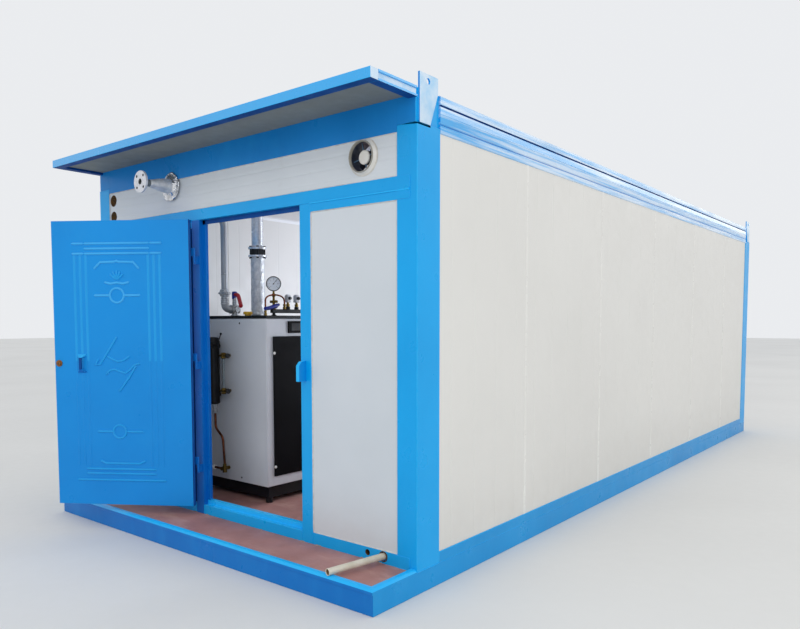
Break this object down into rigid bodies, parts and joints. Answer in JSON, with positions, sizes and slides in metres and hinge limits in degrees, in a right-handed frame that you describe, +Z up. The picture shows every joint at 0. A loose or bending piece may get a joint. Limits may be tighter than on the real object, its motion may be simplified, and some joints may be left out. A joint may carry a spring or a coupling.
{
  "type": "containerised boiler house",
  "caption": "Steel-framed cabin with sandwich-panel walls, a porch under a canopy and an open hinged door, housing an electric steam boiler with its pipework.",
  "frame": {"origin": "on the ground, in the middle of the base frame's footprint", "axes": "+X to the right seen from the front, +Y from the porch to the rear, +Z up"},
  "size_m": [3.19, 7.9417, 2.78],
  "materials": {
    "blue_paint": "gloss",
    "door_paint": "satin",
    "white_panel": "satin",
    "roof_sheet": "satin",
    "bare_steel": "matte",
    "floor_paint": "satin",
    "soffit_sheet": "satin",
    "fan_white": "gloss",
    "fan_black": "matte",
    "flange_steel": "turned",
    "foil": "crumpled",
    "stainless": "satin",
    "pvc": "satin",
    "cabinet_paint": "fine texture",
    "black_paint": "satin",
    "panel_black": "satin",
    "valve_steel": "cast",
    "lever_red": "dipped",
    "gauge_case": "polished",
    "copper": "drawn",
    "brass": "satin",
    "switch_grey": "matte",
    "cap_yellow": "gloss"
  },
  "bodies": {
    "house": {"base_front_beam": "blue_paint", "base_rear_beam": "blue_paint", "base_side_beams": "blue_paint", "boiler_cabinet": "cabinet_paint", "boiler_control_panel": "panel_black", "boiler_plinth": "black_paint", "boiler_top": "black_paint", "canopy_frame": "blue_paint", "canopy_soffit": "soffit_sheet", "ceiling": "white_panel", "corner_heads": "blue_paint", "door_header": "blue_paint", "door_jambs": "blue_paint", "door_keeper": "blue_paint", "door_sill": "blue_paint", "drain_cock": "copper", "drain_pipe": "pvc", "end_top_rails": "blue_paint", "fan_housing": "fan_white", "filler_cap": "cap_yellow", "floor_bearers": "bare_steel", "floor_deck": "floor_paint", "frame_hinges": "blue_paint", "front_bottom_rails": "blue_paint", "front_panels": "white_panel", "front_posts": "blue_paint", "front_transom_panel": "white_panel", "gauge_manifold": "black_paint", "gauge_pipe": "copper", "left_wall": "white_panel", "level_column": "black_paint", "outlet_lagging": "foil", "panel_head_trims": "blue_paint", "porch_end_lips": "blue_paint", "pressure_gauge": "gauge_case", "pressure_switches": "switch_grey", "rear_posts": "blue_paint", "rear_wall": "white_panel", "right_wall": "white_panel", "roof_bearers": "bare_steel", "roof_panels": "roof_sheet", "roof_ribs": "roof_sheet", "side_top_rails": "blue_paint", "sight_glass": "brass", "steam_outlet": "flange_steel", "steam_riser": "stainless", "steam_valve": "valve_steel", "vent_lagging": "foil", "vent_pipe": "stainless", "wall_tracks": "blue_paint"},
    "door": {"door_leaf": "door_paint", "leaf_hinges": "blue_paint", "door_pull": "blue_paint", "door_lock": "brass"},
    "fan": {"fan_rotor": "fan_black"},
    "valve_handle": {"steam_valve_lever": "lever_red"}
  },
  "joints": [
    {"name": "room_door", "type": "hinge", "parent": "house", "child": "door", "pos_m": [-0.302, -3.506, 0], "axis": [0, 0, -1], "range_deg": [-147, 19]},
    {"name": "fan_spin", "type": "hinge", "parent": "house", "child": "fan", "pos_m": [1.215, -3.39, 2.39], "axis": [0, 1, 0], "continuous": true},
    {"name": "steam_valve_turn", "type": "hinge", "parent": "house", "child": "valve_handle", "pos_m": [-0.603, -2.927, 1.63], "axis": [0, 0, 1], "range_deg": [0, 90]}
  ]
}
